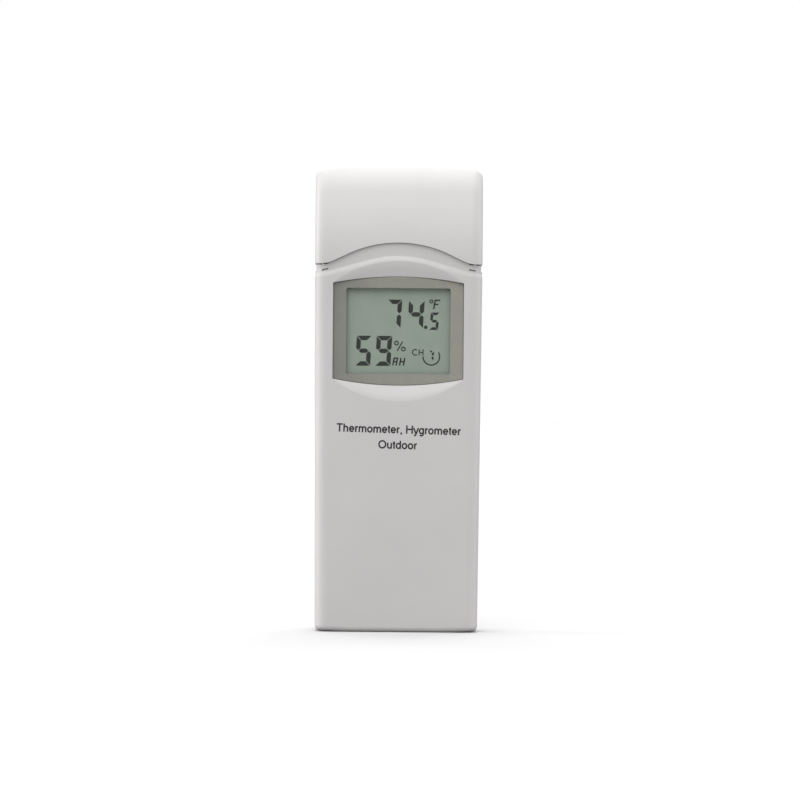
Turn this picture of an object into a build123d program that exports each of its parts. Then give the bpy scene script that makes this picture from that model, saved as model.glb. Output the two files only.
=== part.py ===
from build123d import *
from math import atan2, cos, degrees, radians, sin, tan
import os

# Outdoor temperature and humidity sensor: a slim two-part case with a small display,
# a rain hood over its ventilated neck, and two AA cells behind a sliding door.
# Millimetres. X is to the viewer's right, -Y is the display side, +Z is up.
# The origin is the middle of the base.

# ---- overall size -------------------------------------------------------------
HEIGHT = 121.4
HALF_TOP = 21.65  # half width of the hood, and of the case at its shoulders
HALF_BASE = 21.0  # half width of the case at its base
FRONT = -10.0  # flat front of the case
LIP = -10.5  # front of the hood's lower edge
BACK = 10.5  # flat back of the case and hood
BASE_BOW = 111.0  # radius that lifts the base towards its sides
BASE_ROUND = 1.2
PARTING = 2.0  # plane between the front and rear case
WALL = 1.8
CLEAR = 0.15

# ---- front arches -------------------------------------------------------------
SHOULDER_Z = 93.35  # top of the case at its sides
CREST_Z = 97.8  # top of the brow over the display
CREST_ROUND = 2.2
HOOD_SIDE_Z = 95.05  # lower edge of the hood at its sides
HOOD_ARCH_Z = 100.5  # lower edge of the hood in the middle
HOOD_SIDE_TOP_Z = HEIGHT - 1.5

# ---- neck, between the case and the hood ----------------------------------------
NECK_HALF = 18.2
NECK_FRONT = -8.4  # behind the hood
BAND_FRONT = -9.45  # where the neck shows, between the brow and the hood
BAND_GAP = 0.1
BROW_SLOPE, BROW_FOOT_RADIUS = 15.5, 18.0
NECK_TOP = 106.0
NECK_WALL = 1.6
FIN_TOP, FIN_DROOP, FIN_THICK = 94.95, 0.35, 1.05
FIN_HALF, FIN_ROOT = 21.3, 19.8  # outer end, and where it joins the shoulder
HOOD_WALL = 1.6
HOOD_CURVE, HOOD_TOP_CURVE = 52.0, 13.0  # radii of the hood's front, seen from the side
HOOD_BEND, HOOD_END = 21.5, 80.0  # its lean in degrees where they meet, and beyond its top
HOOD_ROUND = 2.7

# ---- display ------------------------------------------------------------------
BEZEL_Z = 77.7
BEZEL_HALF = 16.9
BEZEL_CORNER = 12.4  # half height at its corners
BEZEL_CROWN = 14.1  # half height in the middle
BEZEL_FRONT = -8.9
BEZEL_THICK = 0.45
BEZEL_GAP = 0.12
WINDOW_HALF_X, WINDOW_HALF_Z = 13.45, 11.1
OPENING_HALF_X, OPENING_HALF_Z = 14.3, 11.7
LENS_THICK = 0.5
PAD_BACK = -7.85
GLASS_HALF_X, GLASS_FRONT, GLASS_THICK = 15.2, -7.8, 0.55
GLASS_HALF_Z, REAR_GLASS_HALF_Z = 14.1, 11.9
HOLDER_FRONT = -7.6

# ---- boards -------------------------------------------------------------------
BOARD_FRONT, BOARD_BACK = -3.0, -1.4
BOARD_LOW, BOARD_HIGH = 62.6, 98.5
SENSOR_BOARD_LOW, SENSOR_BOARD_HIGH = 95.6, 114.0
SENSOR_BOARD_FRONT = BOARD_BACK + 1.0

# ---- cells and their tray -------------------------------------------------------
CELL_X, CELL_Y, CELL_R = 7.55, 1.0, 7.1
CELL_LENGTH, NUB_R, NUB_LENGTH = 50.5, 2.65, 1.3
TRAY_HALF, TRAY_FLOOR, TRAY_LOW, TRAY_HIGH, TRAY_WALL = 15.2, -6.5, 3.6, 60.4, 1.2
PLATE, DIMPLE = 0.35, 0.6
SPRING_LENGTH = TRAY_HIGH - TRAY_LOW - 2 * PLATE - DIMPLE - CELL_LENGTH

# ---- sliding door ---------------------------------------------------------------
DOOR_TOP, DOOR_LOW = 72.4, 0.6
DOOR_HALF, TONGUE_HALF = 16.85, 18.1
DOOR_INNER, TONGUE_BACK = 8.8, 9.45
LEDGE_Y = 5.2  # shelf beside the cells, with the switches in it

# ---- switches -------------------------------------------------------------------
DIP_X, DIP_Z, DIP_HALF_X, DIP_HALF_Z, DIP_TOP = -5.0, 67.6, 5.8, 3.6, 5.0
DIP_PITCH, DIP_SLOT, SLIDER, SLIDER_TRAVEL = 2.54, 3.6, 1.5, 1.8
RESET_X, RESET_R = 8.0, 1.7

# ---- screws ---------------------------------------------------------------------
BOARD_SCREW_X, BOARD_SCREW_Z = 12.6, 95.9
CASE_SCREW_X, CASE_SCREW_Z = 13.4, 101.4
HANGER_Z, HANGER_R, SHANK_HALF, HANGER_RISE = 109.0, 3.6, 1.8, 6.2


def half_width(z):
    """Half width of the tapering case at a height."""
    return HALF_BASE + (HALF_TOP - HALF_BASE) * z / SHOULDER_Z


def slab(sketch, front, back):
    """A front-view outline, drawn in X and Z, made solid between two depths."""
    plane = Plane((0, back, 0), x_dir=(1, 0, 0), z_dir=(0, -1, 0))
    return extrude(plane * sketch, back - front)


def block(x0, x1, y0, y1, z0, z1):
    """A plain box between two corners."""
    middle = Pos((x0 + x1) / 2, (y0 + y1) / 2, (z0 + z1) / 2)
    return middle * Box(x1 - x0, y1 - y0, z1 - z0)


def rod(x, z, radius, y0, y1):
    """A cylinder along Y."""
    return slab(Pos(x, z) * Circle(radius), y0, y1)


def post(x, y, radius, z0, z1):
    """A cylinder along Z."""
    return Pos(x, y, (z0 + z1) / 2) * Cylinder(radius, z1 - z0)


def both(shape):
    """A shape and its mirror image across the middle plane."""
    return shape + mirror(shape, Plane.YZ)


def arch(crown, foot, reach, slope, end_radius):
    """Edges of a bell-shaped arch from (-reach, foot) to (reach, foot): a crown arc,
    straight flanks at the slope, and reverse arcs that end level."""
    a = radians(slope)
    radii = (reach * tan(a) - (crown - foot)) / (1 / cos(a) - 1)
    radius = radii - end_radius
    crown_end = (radius * sin(a), crown - radius * (1 - cos(a)))
    foot_end = (reach - end_radius * sin(a), foot + end_radius * (1 - cos(a)))
    crown_mid = (radius * sin(a / 2), crown - radius * (1 - cos(a / 2)))
    foot_mid = (reach - end_radius * sin(a / 2), foot + end_radius * (1 - cos(a / 2)))

    def left(p):
        return (-p[0], p[1])

    return [
        ThreePointArc((-reach, foot), left(foot_mid), left(foot_end)),
        Line(left(foot_end), left(crown_end)),
        ThreePointArc(left(crown_end), (0, crown), crown_end),
        Line(crown_end, foot_end),
        ThreePointArc(foot_end, foot_mid, (reach, foot)),
    ]


def under_arch(crown, foot, reach, slope, end_radius, low):
    """The area under an arch, down to a level."""
    edges = arch(crown, foot, reach, slope, end_radius)
    edges.append(Polyline((reach, foot), (reach, low), (-reach, low), (-reach, foot)))
    return make_face(edges)


def bowed_frame(half, corner, crown):
    """An upright rectangle whose top and bottom bow outward."""
    return make_face(
        [
            ThreePointArc((-half, corner), (0, crown), (half, corner)),
            Line((half, corner), (half, -corner)),
            ThreePointArc((half, -corner), (0, -crown), (-half, -corner)),
            Line((-half, -corner), (-half, corner)),
        ]
    )


def tower(inset, front, back, front_radius, back_radius, low, high):
    """The tapering case's plan section, from one level to another."""
    sections = []
    for z in (low, high):
        half = half_width(z) - inset
        plan = make_face(Polyline((-half, front), (half, front), (half, back), (-half, back), close=True))
        if front_radius:
            near = [v for v in plan.vertices() if abs(v.Y - front) < 0.01]
            plan = fillet(near, front_radius)
        if back_radius:
            far = [v for v in plan.vertices() if abs(v.Y - back) < 0.01]
            plan = fillet(far, back_radius)
        sections.append(Pos(0, 0, z) * plan)
    return loft(sections, ruled=True)


# ================================ case =================================


def base_outline():
    """Front-view outline of the whole case: base bowed a little, brow on top."""
    flat, sides = 11.0, HALF_TOP + 1
    run = sides - flat
    right = [
        ThreePointArc((flat, 0), (flat + run / 2, run**2 / 8 / BASE_BOW), (sides, run**2 / 2 / BASE_BOW)),
        Line((sides, run**2 / 2 / BASE_BOW), (sides, SHOULDER_Z)),
    ]
    left = [mirror(edge, Plane.YZ) for edge in right]
    top = arch(CREST_Z, SHOULDER_Z, sides, BROW_SLOPE, BROW_FOOT_RADIUS)
    return make_face([Line((-flat, 0), (flat, 0)), *right, *left, *top])


def base_edges(shell):
    """The edges round the underside of a shell, but not along the parting plane."""
    return [e for e in shell.edges() if e.center().Z < 0.7 and abs(e.center().Y - PARTING) > 0.01]


def inner_outline():
    """Front-view outline of the space inside the case, one wall in from the outside."""
    return under_brow(WALL, WALL + 0.1)


def under_brow(inset, low):
    """The area under the brow's arch, lowered by an inset, down to a level."""
    return under_arch(
        CREST_Z - inset, SHOULDER_Z - inset, HALF_TOP + 1, BROW_SLOPE, BROW_FOOT_RADIUS, low
    )


def dish():
    """The scoop above and below the display, deepest in the middle and gone at the corners."""
    side = -0.02
    steps = [
        (BEZEL_FRONT + 0.03, -2.6, -0.1),
        (BEZEL_FRONT - 0.55, -1.3, 1.6),
        (BEZEL_FRONT - 0.95, -0.4, 3.0),
        (FRONT - 0.02, 0.1, 4.5),
    ]
    sections = []
    for y, corner, crown in steps:
        outline = bowed_frame(BEZEL_HALF + side, BEZEL_CORNER + corner, BEZEL_CROWN + crown)
        plane = Plane((0, y, 0), x_dir=(1, 0, 0), z_dir=(0, -1, 0))
        sections.append(plane * (Pos(0, BEZEL_Z) * outline))
    return loft(sections)


def neck(front, back, low):
    """The outside of the neck between two depths; its front leans back inside the hood."""
    lower = block(-NECK_HALF, NECK_HALF, front, back, low, HOOD_SIDE_Z)
    upper = block(-NECK_HALF, NECK_HALF, front, back, HOOD_SIDE_Z - 0.2, NECK_TOP)
    return lower + (upper & hood_solid(HOOD_WALL + 0.2))


def neck_hollow(front, back, low):
    """The space inside the neck between two depths."""
    half = NECK_HALF - NECK_WALL
    return block(-half, half, front, back, low, NECK_TOP - NECK_WALL)


def neck_band():
    """The raised face of the neck, framed by the brow below and the hood's arch above."""
    area = under_mouth(BAND_GAP) - under_brow(0.9, 88)
    area &= Pos(0, HOOD_SIDE_Z) * Rectangle(2 * NECK_HALF, 20)
    return slab(area, BAND_FRONT, NECK_FRONT + 0.3)


def fins(plan):
    """One drooping rain fin each side, which joins the shoulder at its outer end."""
    inner = NECK_HALF - 0.3
    top, outer_top = FIN_TOP, FIN_TOP - FIN_DROOP
    outline = Polyline(
        (inner, top), (FIN_HALF, outer_top), (FIN_HALF, SHOULDER_Z - 1), (FIN_ROOT, SHOULDER_Z - 1),
        (FIN_ROOT, SHOULDER_Z + 0.15), (inner, top - FIN_THICK), close=True,
    )
    return both(slab(make_face(outline), FRONT, BACK) & plan)


def neck_vents(front, back):
    """Upright air slots through both side walls of the neck, hidden by the hood."""
    cuts = Part()
    y = front
    while y + 1.4 <= back:
        cuts += block(NECK_HALF - NECK_WALL - 0.5, NECK_HALF + 0.5, y, y + 1.4, 96.2, 103.2)
        y += 2.8
    return both(cuts)


def seam():
    """The fine groove round the outside where the two halves of the case meet."""
    band = block(-25, 25, PARTING - 0.2, PARTING + 0.2, -1, SHOULDER_Z - 0.8)
    core = tower(0.3, PARTING - 1, PARTING + 1, 0, 0, -1, 98)
    core &= slab(offset(base_outline(), -0.3), PARTING - 1, PARTING + 1)
    corners = core.edges().filter_by(Axis.Y).filter_by_position(Axis.Z, -1, 2)
    return band - fillet(corners, BASE_ROUND - 0.3)


def front_case():
    """Front shell: brow, scooped display surround, neck front, posts for the screws."""
    shell = tower(0, FRONT, PARTING, 3.2, 0, -1, 98) & slab(base_outline(), FRONT - 1, PARTING)
    hollow = tower(WALL, FRONT + WALL, PARTING + 1, 1.6, 0, -1, 98)
    hollow &= slab(inner_outline(), FRONT, PARTING + 2)
    crest = [e for e in shell.edges() if e.center().Z > SHOULDER_Z - 3 and e.center().Y < FRONT + 0.8]
    crest = [e for e in crest if e.bounding_box().size.Z < 10]
    shell = fillet(crest, CREST_ROUND)
    shell = fillet(base_edges(shell), BASE_ROUND)
    shell -= dish() + seam()
    shell += neck(NECK_FRONT, PARTING, 88) + neck_band()
    pad = block(-18.6, 18.6, FRONT + WALL - 0.3, PAD_BACK, 62.8, 92.4)
    hollow -= pad
    shell -= hollow
    shell -= neck_hollow(NECK_FRONT + NECK_WALL, PARTING + 1, 86)
    seat = Pos(0, BEZEL_Z) * bowed_frame(BEZEL_HALF, BEZEL_CORNER, BEZEL_CROWN)
    shell -= slab(seat, FRONT, BEZEL_FRONT + BEZEL_THICK)
    opening = Pos(0, BEZEL_Z) * Rectangle(2 * OPENING_HALF_X, 2 * OPENING_HALF_Z)
    shell -= slab(opening, FRONT, PAD_BACK + 1)
    shell += fins(tower(0.35, FRONT + 0.5, PARTING, 2.85, 0, 90, 96))
    shell -= neck_vents(NECK_FRONT + 2.6, PARTING)
    post_back = NECK_FRONT + 1
    for x in (-1, 1):
        shell += rod(x * BOARD_SCREW_X, BOARD_SCREW_Z, 2.2, post_back, BOARD_FRONT)
        shell -= rod(x * BOARD_SCREW_X, BOARD_SCREW_Z, 0.95, post_back + 0.8, BOARD_FRONT + 1)
        shell += rod(x * CASE_SCREW_X, CASE_SCREW_Z, 2.2, post_back, PARTING)
        shell -= rod(x * CASE_SCREW_X, CASE_SCREW_Z, 1.05, post_back + 0.8, PARTING + 1)
    shell -= block(-5, 5, -1.7, PARTING + 1, NECK_TOP - NECK_WALL - 1, NECK_TOP + 1)
    return shell


def hanger_hole(front, back):
    """Keyhole for a wall screw: a round entry with a narrow slot above it."""
    slot = Pos(0, HANGER_Z + HANGER_RISE / 2) * Rectangle(2 * SHANK_HALF, HANGER_RISE)
    end = Pos(0, HANGER_Z + HANGER_RISE) * Circle(SHANK_HALF)
    return slab(Pos(0, HANGER_Z) * Circle(HANGER_R) + slot + end, front, back)


def hanger_pocket():
    """Walls behind the keyhole, which keep the screw head off the boards."""
    outer = block(-5.8, 5.8, 4.2, 8.7, HANGER_Z - 5.4, HANGER_Z + 9.6)
    inner = block(-4.6, 4.6, 5.2, 9, HANGER_Z - 4.4, HANGER_Z + 8.6)
    return outer - inner


def back_plate():
    """The plate inside the hood's rim, flush with the back of the case."""
    half = HALF_TOP - HOOD_WALL - 0.12
    top = HEIGHT - HOOD_WALL - 0.15
    side_top = HOOD_SIDE_TOP_Z - HOOD_WALL - 0.15
    low = HOOD_SIDE_Z + 0.3
    outline = make_face(
        [
            Polyline((-half, side_top), (-half, low), (half, low), (half, side_top)),
            ThreePointArc((half, side_top), (0, top), (-half, side_top)),
        ]
    )
    outline = fillet(outline.vertices().sort_by(Axis.Y)[-2:], 1.5)
    return slab(outline, BACK - 2, BACK)


def cell_tray():
    """Open-backed tray for the two cells, with a low ridge between them."""
    half = TRAY_HALF + TRAY_WALL
    low, high = TRAY_LOW - TRAY_WALL, TRAY_HIGH + TRAY_WALL
    tray = block(-half, half, TRAY_FLOOR - TRAY_WALL, BACK - WALL, low, high)
    tray -= block(-TRAY_HALF, TRAY_HALF, TRAY_FLOOR, BACK, TRAY_LOW, TRAY_HIGH)
    tray += block(-0.7, 0.7, TRAY_FLOOR - 0.1, -3.6, TRAY_LOW + 4, TRAY_HIGH - 4)
    return tray


def switch_shelf():
    """Shelf above the cells, with a window for the slide switches and a hole for reset."""
    half = TRAY_HALF + TRAY_WALL
    shelf = block(-half, half, LEDGE_Y - TRAY_WALL, BACK - WALL, TRAY_HIGH + 0.5, DOOR_TOP + 1)
    shelf -= block(-TRAY_HALF, TRAY_HALF, LEDGE_Y, BACK, TRAY_HIGH + TRAY_WALL, DOOR_TOP - 0.2)
    window_x, window_z = DIP_HALF_X + 0.3, DIP_HALF_Z + 0.3
    shelf -= block(DIP_X - window_x, DIP_X + window_x, 0, LEDGE_Y + 1, DIP_Z - window_z, DIP_Z + window_z)
    shelf -= rod(RESET_X, DIP_Z, RESET_R + 0.4, 0, LEDGE_Y + 1)
    return shelf


def door_seat():
    """What the sliding door needs cut from the back wall: opening, grooves, latch slot."""
    front, back, top = BACK - WALL - 0.05, TONGUE_BACK + CLEAR, DOOR_TOP + CLEAR
    opening = block(-DOOR_HALF - CLEAR, DOOR_HALF + CLEAR, TONGUE_BACK, BACK + 1, -1, top)
    groove = block(-TONGUE_HALF - CLEAR, TONGUE_HALF + CLEAR, front, back, -1, top)
    latch = block(-5.3, 5.3, front, back, DOOR_TOP - 1, DOOR_TOP + 2.2)
    return opening + groove + latch


def rear_vents():
    """Level louvre slots in the back plate, below the keyhole."""
    slots = Part()
    for row in range(3):
        z = 97.0 + 2.6 * row
        slots += slab(Pos(0, z) * SlotOverall(17, 1.2), BACK - 3, BACK + 1)
    return slots


def locating_tabs():
    """Two tabs each side that reach into the front case and line the halves up."""
    tabs = Part()
    for z in (22.0, 56.0):
        outside = half_width(z) - WALL - 0.2
        tabs += block(outside - 1.2, outside, -2.2, PARTING + 2, z - 3, z + 3)
        tabs += block(outside - 1.2, outside + 0.8, PARTING, PARTING + 2, z - 3, z + 3)
    return both(tabs)


def hood_webs():
    """Two webs from the neck to the back plate; the hood's ceiling rests on them."""
    web = block(10.6, 11.8, 2.2, BACK - 1.8, NECK_TOP - 1, HEIGHT - HOOD_WALL - 0.65)
    web = chamfer(web.edges().filter_by(Axis.X).sort_by(lambda e: e.center().Z - e.center().Y)[-1], 2.5)
    return both(web)


def rear_case():
    """Rear shell: back wall, cell tray, switch shelf, neck rear and hanging plate."""
    shell = tower(0, PARTING, BACK, 0, 1.8, -1, SHOULDER_Z) & slab(base_outline(), PARTING, BACK + 1)
    hollow = tower(WALL, PARTING - 1, BACK - WALL, 0, 0.8, -1, SHOULDER_Z)
    hollow &= slab(inner_outline(), PARTING - 2, BACK)
    shell = fillet(base_edges(shell), BASE_ROUND) - seam()
    shell += neck(PARTING, BACK, SHOULDER_Z - 4)
    shell += back_plate()
    shell += fins(tower(0.35, PARTING, BACK - 0.6, 0, 1.5, 90, 96))
    shell -= hollow
    shell -= neck_hollow(PARTING - 1, BACK - 2, SHOULDER_Z - 6)
    shell -= neck_vents(PARTING + 0.6, BACK - 2.4)
    shell -= block(-5, 5, 0, BACK - 6.5, NECK_TOP - NECK_WALL - 1, NECK_TOP + 1)
    shell += cell_tray() + switch_shelf() + locating_tabs() + hood_webs() + hanger_pocket()
    shell -= block(-TRAY_HALF, TRAY_HALF, LEDGE_Y, BACK, TRAY_HIGH + TRAY_WALL, DOOR_TOP - 0.2)
    shell -= block(-TRAY_HALF, TRAY_HALF, TRAY_FLOOR, BACK, TRAY_LOW, TRAY_HIGH)
    shell += block(-0.7, 0.7, TRAY_FLOOR - 0.1, -3.6, TRAY_LOW + 4, TRAY_HIGH - 4)
    shell -= door_seat() + hanger_hole(BACK - 3, BACK + 1) + rear_vents()
    for side in (-1, 1):
        x = side * CASE_SCREW_X
        shell += rod(x, CASE_SCREW_Z, 2.2, PARTING + 0.1, BACK - 1)
        shell -= rod(x, CASE_SCREW_Z, 1.25, PARTING - 1, BACK + 1)
        shell -= rod(x, CASE_SCREW_Z, 2.3, BACK - 1.9, BACK + 1)
        x = side * CELL_X
        shell -= block(x - 1.3, x + 1.3, -1.5, -0.75, TRAY_HIGH - 0.5, TRAY_HIGH + TRAY_WALL + 0.5)
    return shell


# ================================ hood =================================


def under_mouth(gap):
    """The area under the arch of the hood's lower edge, lowered by a gap."""
    return under_arch(HOOD_ARCH_Z - gap, HOOD_SIDE_Z - gap, 20.0, 25.5, 7.4, 90)


def hood_profile(inset):
    """Side view of the hood's front: upright at its foot, leaning back more and more."""
    bend, end = radians(HOOD_BEND), radians(HOOD_END)
    step = HOOD_CURVE - HOOD_TOP_CURVE
    low_y = LIP + HOOD_CURVE
    high_y, high_z = low_y - step * cos(bend), HOOD_SIDE_Z + step * sin(bend)

    def lower(a):
        radius = HOOD_CURVE - inset
        return (low_y - radius * cos(a), HOOD_SIDE_Z + radius * sin(a))

    def upper(a):
        radius = HOOD_TOP_CURVE - inset
        return (high_y - radius * cos(a), high_z + radius * sin(a))

    foot = (LIP + inset, HOOD_SIDE_Z - 2)
    above, behind = HEIGHT + 3, BACK + 2
    side = make_face(
        [
            Line(foot, lower(0)),
            ThreePointArc(lower(0), lower(bend / 2), lower(bend)),
            ThreePointArc(upper(bend), upper((bend + end) / 2), upper(end)),
            Polyline(upper(end), (upper(end)[0], above), (behind, above), (behind, foot[1]), foot),
        ]
    )
    return extrude(Plane((-30, 0, 0), x_dir=(0, 1, 0), z_dir=(1, 0, 0)) * side, 60)


def hood_solid(inset):
    """The hood's outer form, or with an inset its inner one: bowed top, curved front."""
    half, top, side_top = HALF_TOP - inset, HEIGHT - inset, HOOD_SIDE_TOP_Z - inset
    low = HOOD_SIDE_Z - (1 if inset else 0)
    outline = make_face(
        [
            Polyline((-half, side_top), (-half, low), (half, low), (half, side_top)),
            ThreePointArc((half, side_top), (0, top), (-half, side_top)),
        ]
    )
    outline = fillet(outline.vertices().sort_by(Axis.Y)[-2:], 2.8 - inset * 0.8)
    back = BACK + (1 if inset else 0)
    return slab(outline, LIP - 1, back) & hood_profile(inset)


def hood():
    """Rain hood: a shell that drops over the neck, arched below its front."""
    shell = hood_solid(0)
    upper = [e for e in shell.edges() if e.center().Z > HOOD_SIDE_Z + 0.3]
    front_rim = [e for e in upper if e.center().Y < 0 and e.bounding_box().size.Y < 12]
    shell = fillet(front_rim, HOOD_ROUND)
    upper = [e for e in shell.edges() if e.center().Z > HOOD_SIDE_Z + 0.3]
    back_rim = [e for e in upper if abs(e.center().Y - BACK) < 0.01]
    shell = fillet(back_rim, 0.8)
    shell -= hood_solid(HOOD_WALL)
    return shell - slab(under_mouth(0), LIP - 1, -4)


# =============================== display ===============================


def display_bezel():
    """Thin plate with bowed ends and the display window."""
    gap = BEZEL_GAP
    plate = slab(
        Pos(0, BEZEL_Z) * bowed_frame(BEZEL_HALF - gap, BEZEL_CORNER - gap, BEZEL_CROWN - gap),
        BEZEL_FRONT,
        BEZEL_FRONT + BEZEL_THICK - 0.03,
    )
    plate = fillet(plate.edges().filter_by_position(Axis.Y, BEZEL_FRONT - 0.01, BEZEL_FRONT + 0.01), 0.12)
    window = Pos(0, BEZEL_Z) * RectangleRounded(2 * WINDOW_HALF_X, 2 * WINDOW_HALF_Z, 0.5)
    return plate - slab(window, BEZEL_FRONT - 1, 0)


def panel(half_x, half_z, front, thick):
    """A rectangular plate centred on the display."""
    return block(-half_x, half_x, front, front + thick, BEZEL_Z - half_z, BEZEL_Z + half_z)


def display_lens():
    """Clear window behind the bezel, in the case opening."""
    front = BEZEL_FRONT + BEZEL_THICK + 0.02
    outline = Pos(0, BEZEL_Z) * RectangleRounded(2 * OPENING_HALF_X - 0.2, 2 * OPENING_HALF_Z - 0.2, 0.4)
    return slab(outline, front, front + LENS_THICK)


def lcd_front_glass():
    """Front glass of the display, with contact ledges above and below."""
    return panel(GLASS_HALF_X, GLASS_HALF_Z, GLASS_FRONT, GLASS_THICK)


def lcd_rear_glass():
    """Rear glass of the display, between the contact ledges."""
    return panel(GLASS_HALF_X, REAR_GLASS_HALF_Z, GLASS_FRONT + GLASS_THICK + 0.01, GLASS_THICK)


def lcd_reflector():
    """Thin reflector film on the back of the display."""
    front = GLASS_FRONT + 2 * GLASS_THICK + 0.02
    return panel(GLASS_HALF_X - 0.3, REAR_GLASS_HALF_Z - 0.3, front, 0.2)


def lcd_holder():
    """Frame that holds the display in front of the main board."""
    outer = panel(GLASS_HALF_X + 1.1, GLASS_HALF_Z + 0.8, HOLDER_FRONT, BOARD_FRONT - 0.02 - HOLDER_FRONT)
    outer = fillet(outer.edges().filter_by(Axis.Y), 1.5)
    return outer - panel(GLASS_HALF_X + 0.1, GLASS_HALF_Z + 0.1, -9, 9)


def contact_strip(side):
    """One rubber contact strip, from a ledge of the glass to the main board."""
    front = GLASS_FRONT + GLASS_THICK + 0.02
    z = BEZEL_Z + side * (GLASS_HALF_Z + REAR_GLASS_HALF_Z) / 2
    return block(-13, 13, front, BOARD_FRONT - 0.02, z - 0.9, z + 0.9)


# =============================== boards ================================


def main_board():
    """Main circuit board, narrower where it enters the neck."""
    outline = make_face(
        Polyline(
            (-18.3, BOARD_LOW), (18.3, BOARD_LOW), (18.3, 90.0), (16.2, 91.5), (16.2, BOARD_HIGH),
            (-16.2, BOARD_HIGH), (-16.2, 91.5), (-18.3, 90.0), close=True,
        )
    )
    board = slab(outline, BOARD_FRONT, BOARD_BACK)
    for x in (-BOARD_SCREW_X, BOARD_SCREW_X):
        board -= rod(x, BOARD_SCREW_Z, 1.15, BOARD_FRONT - 1, BOARD_BACK + 1)
    return board


def board_screw(side):
    """One pan-head screw that holds the main board."""
    x = side * BOARD_SCREW_X
    head = rod(x, BOARD_SCREW_Z, 1.9, BOARD_BACK + 0.02, BOARD_BACK + 1.4)
    head = fillet(head.edges().filter_by(GeomType.CIRCLE).sort_by(Axis.Y)[-1], 0.5)
    shank = rod(x, BOARD_SCREW_Z, 0.9, BOARD_FRONT - 3.2, BOARD_BACK + 0.5)
    return head + shank - cross_recess(x, BOARD_SCREW_Z, BOARD_BACK + 1.4, 0.8)


def cross_recess(x, z, back, depth):
    """Cross-shaped driver recess cut into a screw head that faces backwards."""
    bars = Pos(x, z) * (Rectangle(2.2, 0.55) + Rectangle(0.55, 2.2))
    return slab(bars, back - depth, back + 0.1)


def case_screw(side):
    """One self-tapping screw that joins the rear case to the front case."""
    x = side * CASE_SCREW_X
    head = rod(x, CASE_SCREW_Z, 2.1, BACK - 1.88, BACK - 0.5)
    head = fillet(head.edges().filter_by(GeomType.CIRCLE).sort_by(Axis.Y)[-1], 0.5)
    shank = rod(x, CASE_SCREW_Z, 1.0, -3.5, BACK - 1.5)
    return head + shank - cross_recess(x, CASE_SCREW_Z, BACK - 0.5, 0.9)


def sensor_board():
    """Small upright board that carries the humidity sensor up into the hood."""
    front = SENSOR_BOARD_FRONT
    board = block(-4.4, 4.4, front, front + 1, SENSOR_BOARD_LOW, SENSOR_BOARD_HIGH)
    for column in range(4):
        board -= rod(pin_x(column), SENSOR_BOARD_LOW + 1.4, 0.5, front - 1, front + 2)
    return board - block(-3.2, 3.2, front - 1, front + 2, 107.6, 108.4)


def pin_x(column):
    """Where one pin of the sensor header stands."""
    return -3.81 + 2.54 * column


def sensor_header():
    """Four pins in a plastic strip, which carry the sensor board on the main board."""
    z = SENSOR_BOARD_LOW + 1.4
    header = block(-5, 5, BOARD_BACK + 0.02, SENSOR_BOARD_FRONT - 0.02, z - 1.2, z + 1.2)
    for column in range(4):
        header += rod(pin_x(column), z, 0.32, BOARD_BACK + 0.1, SENSOR_BOARD_FRONT + 1.9)
    return header


def humidity_sensor():
    """Sensor chip with a round opening over its membrane."""
    back = SENSOR_BOARD_FRONT - 0.02
    body = block(-1.5, 1.5, back - 1.1, back, 109.6, 112.6)
    return body - rod(0, 111.1, 0.8, back - 2, back - 0.8)


def radio_module():
    """Transmitter: a small board with a metal can."""
    board = block(-15, -3, BOARD_BACK + 0.02, BOARD_BACK + 0.82, 76, 92)
    can = block(-14, -4, BOARD_BACK + 0.8, BOARD_BACK + 3.0, 77.5, 88.5)
    return board + fillet(can.edges().group_by(Axis.Y)[-1], 0.4)


def helix_wire(x, y, z, radius, top_radius, height, turns, wire_radius):
    """A round wire wound along Z."""
    cone = degrees(atan2(top_radius - radius, height))
    path = Helix(height / turns, height, radius, cone_angle=cone)
    section = Plane(path @ 0, z_dir=path % 0) * Circle(wire_radius)
    return Pos(x, y, z) * sweep(section, path, is_frenet=True)


def antenna():
    """Coiled copper antenna beside the radio."""
    return helix_wire(14.2, 2.8, 75, 2.4, 2.4, 13, 8, 0.4)


def controller_chip():
    """Controller package on the main board."""
    body = block(2, 10, BOARD_BACK + 0.12, BOARD_BACK + 1.5, 82, 90)
    return chamfer(body.edges().group_by(Axis.Y)[-1], 0.2)


def crystal():
    """Timing crystal in a lying can."""
    can = Pos(-10, BOARD_BACK + 1.65, 72.8) * Rot(0, 90, 0) * Cylinder(1.55, 8)
    return can


# ============================ cells and contacts ========================


def cell(x, up):
    """One AA cell, its nub up or down."""
    low = TRAY_LOW + PLATE + (SPRING_LENGTH if up else DIMPLE)
    can_low = low if up else low + NUB_LENGTH
    can_high = can_low + CELL_LENGTH - NUB_LENGTH
    can = post(x, CELL_Y, CELL_R, can_low, can_high)
    can = fillet(can.edges().filter_by(GeomType.CIRCLE), 0.7)
    nub_low, nub_high = (can_high - 0.1, can_high + NUB_LENGTH) if up else (low, can_low + 0.1)
    nub = post(x, CELL_Y, NUB_R, nub_low, nub_high)
    tip = nub.edges().sort_by(Axis.Z)[-1 if up else 0]
    return can + fillet(tip, 0.4)


def contact_plate(x, top, tail):
    """Sprung steel contact plate at one end of the tray, with a solder tail if asked."""
    z0, z1 = (TRAY_HIGH - PLATE, TRAY_HIGH) if top else (TRAY_LOW, TRAY_LOW + PLATE)
    plate = block(x - 4.6, x + 4.6, -4.4, 6.2, z0, z1)
    if tail:
        plate += block(x - 1, x + 1, -1.33, -0.93, z0, BOARD_LOW + 1.1)
    return plate


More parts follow.
